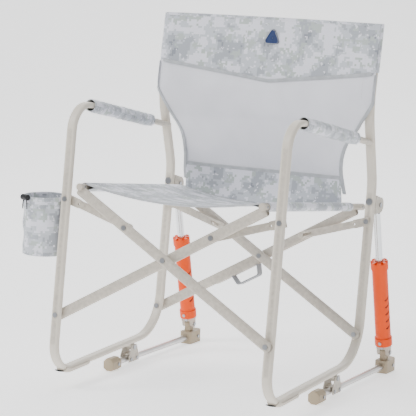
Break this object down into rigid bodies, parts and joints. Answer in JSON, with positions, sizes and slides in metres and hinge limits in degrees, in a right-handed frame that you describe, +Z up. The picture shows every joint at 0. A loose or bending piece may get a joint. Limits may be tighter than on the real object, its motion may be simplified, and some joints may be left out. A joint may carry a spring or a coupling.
{
  "type": "folding camp rocking chair",
  "caption": "Folding camp rocking chair with sprung rear rockers, cream flat-oval tube frame, camouflage sling seat, white mesh back, padded arms and a cup pouch.",
  "frame": {"origin": "on the floor, below the middle of the whole chair including the cup pouch", "axes": "+Z up, -Y the front of the chair, +X the side without the cup pouch"},
  "size_m": [0.7055, 0.7073, 0.8796],
  "materials": {
    "frame_paint": "satin cream powder coat",
    "cream_plastic": "matte",
    "beige_plastic": "matte",
    "orange_plastic": "satin",
    "chrome_rod": "polished",
    "zinc": "satin",
    "black_foam": "matte",
    "black_plastic": "satin",
    "white_mesh": "open weave",
    "grey_webbing": "woven",
    "camo_fabric": "woven polyester with a pixel camouflage print"
  },
  "bodies": {
    "rocker_left": {"rocker_bar_left": "frame_paint", "rocker_cap_left": "beige_plastic", "hinge_bracket_left": "frame_paint", "rocker_block_left": "beige_plastic", "rocker_screws_left": "zinc"},
    "side_left": {"side_tube_left": "frame_paint", "arm_tube_left": "frame_paint", "arm_foam_left": "black_foam", "arm_sleeve_left": "camo_fabric", "foot_pad_left": "cream_plastic", "side_rivets_left": "zinc", "shock_clevis_left": "frame_paint", "back_band": "camo_fabric", "back_mesh": "white_mesh", "cup_holder": "camo_fabric", "cord_lock": "black_plastic"},
    "barrel_left": {"shock_yoke_left": "beige_plastic", "shock_barrel_left": "orange_plastic", "shock_collars_left": "orange_plastic", "shock_screws_left": "zinc"},
    "rod_left": {"shock_rod_left": "chrome_rod"},
    "rocker_right": {"rocker_bar_right": "frame_paint", "rocker_cap_right": "beige_plastic", "hinge_bracket_right": "frame_paint", "rocker_block_right": "beige_plastic", "rocker_screws_right": "zinc"},
    "side_right": {"side_tube_right": "frame_paint", "arm_tube_right": "frame_paint", "arm_foam_right": "black_foam", "arm_sleeve_right": "camo_fabric", "foot_pad_right": "cream_plastic", "side_rivets_right": "zinc", "shock_clevis_right": "frame_paint"},
    "barrel_right": {"shock_yoke_right": "beige_plastic", "shock_barrel_right": "orange_plastic", "shock_collars_right": "orange_plastic", "shock_screws_right": "zinc"},
    "rod_right": {"shock_rod_right": "chrome_rod"},
    "cross_a": {"front_tube_a": "frame_paint", "rear_tube_a": "frame_paint", "seat_rail_a": "frame_paint", "rail_plugs_a": "cream_plastic", "x_rivets_a": "zinc"},
    "cross_b": {"front_tube_b": "frame_paint", "rear_tube_b": "frame_paint", "seat_rail_b": "frame_paint", "rail_plugs_b": "cream_plastic", "x_rivets_b": "zinc", "handle_channel": "frame_paint", "carry_handle": "grey_webbing", "seat_sling": "camo_fabric"},
    "brace_front_left": {"brace_front_left": "frame_paint", "brace_channel_front_left": "frame_paint"},
    "brace_rear_left": {"brace_rear_left": "frame_paint", "brace_channel_rear_left": "frame_paint"},
    "brace_front_right": {"brace_front_right": "frame_paint", "brace_channel_front_right": "frame_paint"},
    "brace_rear_right": {"brace_rear_right": "frame_paint", "brace_channel_rear_right": "frame_paint"}
  },
  "joints": [
    {"name": "rock", "type": "hinge", "parent": "rocker_left", "child": "side_left", "pos_m": [-0.23325, 0.00766, 0.045], "axis": [-1, 0, 0], "range_deg": [-6.5, 12], "stiffness_Nm_per_rad": 520, "springref_deg": 0.34},
    {"name": "barrel_left_tilt", "type": "hinge", "parent": "rocker_left", "child": "barrel_left", "pos_m": [-0.23325, 0.30816, 0.052], "axis": [-1, 0, 0], "range_deg": [-5.71, 10.52]},
    {"name": "rod_left_slide", "type": "slide", "parent": "barrel_left", "child": "rod_left", "axis": [0, -0.2222, 0.975], "range_m": [-0.0624, 0.03394]},
    {"name": "fold", "type": "hinge", "parent": "side_left", "child": "cross_b", "pos_m": [-0.23325, -0.32823, 0.18274], "axis": [0, -0.9932, 0.1167], "range_deg": [0, 43.93], "deforming": ["seat_sling", "back_band", "back_mesh"]},
    {"name": "x_centre", "type": "hinge", "parent": "cross_b", "child": "cross_a", "pos_m": [0.04875, -0.30956, 0.34164], "axis": [0, -0.9932, 0.1167], "range_deg": [-87.91, 0]},
    {"name": "low_pivot_right", "type": "hinge", "parent": "cross_a", "child": "side_right", "pos_m": [0.33075, -0.32823, 0.18274], "axis": [0, -0.9932, 0.1167], "range_deg": [0, 43.98]},
    {"name": "rock_right", "type": "hinge", "parent": "side_right", "child": "rocker_right", "pos_m": [0.33075, 0.00766, 0.045], "axis": [1, 0, 0], "range_deg": [-6.52, 12.02]},
    {"name": "barrel_right_tilt", "type": "hinge", "parent": "rocker_right", "child": "barrel_right", "pos_m": [0.33075, 0.30816, 0.052], "axis": [-1, 0, 0], "range_deg": [-5.71, 10.52]},
    {"name": "rod_right_slide", "type": "slide", "parent": "barrel_right", "child": "rod_right", "axis": [0, -0.2222, 0.975], "range_m": [-0.0624, 0.03394]},
    {"name": "brace_front_left_swing", "type": "hinge", "parent": "side_left", "child": "brace_front_left", "pos_m": [-0.23325, -0.29626, 0.45486], "axis": [0, -0.9932, 0.1167], "range_deg": [0, 87.36]},
    {"name": "brace_front_right_swing", "type": "hinge", "parent": "side_right", "child": "brace_front_right", "pos_m": [0.33075, -0.29626, 0.45486], "axis": [0, -0.9932, 0.1167], "range_deg": [-87.36, 0]},
    {"name": "brace_rear_left_swing", "type": "hinge", "parent": "side_left", "child": "brace_rear_left", "pos_m": [-0.23325, 0.18046, 0.39886], "axis": [0, -0.9932, 0.1167], "range_deg": [0, 87.36]},
    {"name": "brace_rear_right_swing", "type": "hinge", "parent": "side_right", "child": "brace_rear_right", "pos_m": [0.33075, 0.18046, 0.39886], "axis": [0, -0.9932, 0.1167], "range_deg": [-87.36, 0]}
  ],
  "couplings": [
    {"joint": "barrel_left_tilt", "follows": "rock", "ratio": 0.875},
    {"joint": "rod_left_slide", "follows": "rock", "m_per_rad": -0.29651},
    {"joint": "rock_right", "follows": "rock", "ratio": 1},
    {"joint": "barrel_right_tilt", "follows": "rock", "ratio": 0.875},
    {"joint": "rod_right_slide", "follows": "rock", "m_per_rad": -0.29651},
    {"joint": "x_centre", "follows": "fold", "ratio": -2},
    {"joint": "low_pivot_right", "follows": "fold", "ratio": 1},
    {"joint": "brace_front_left_swing", "follows": "fold", "ratio": 1.9875},
    {"joint": "brace_front_right_swing", "follows": "fold", "ratio": -1.9875},
    {"joint": "brace_rear_left_swing", "follows": "fold", "ratio": 1.9875},
    {"joint": "brace_rear_right_swing", "follows": "fold", "ratio": -1.9875}
  ]
}
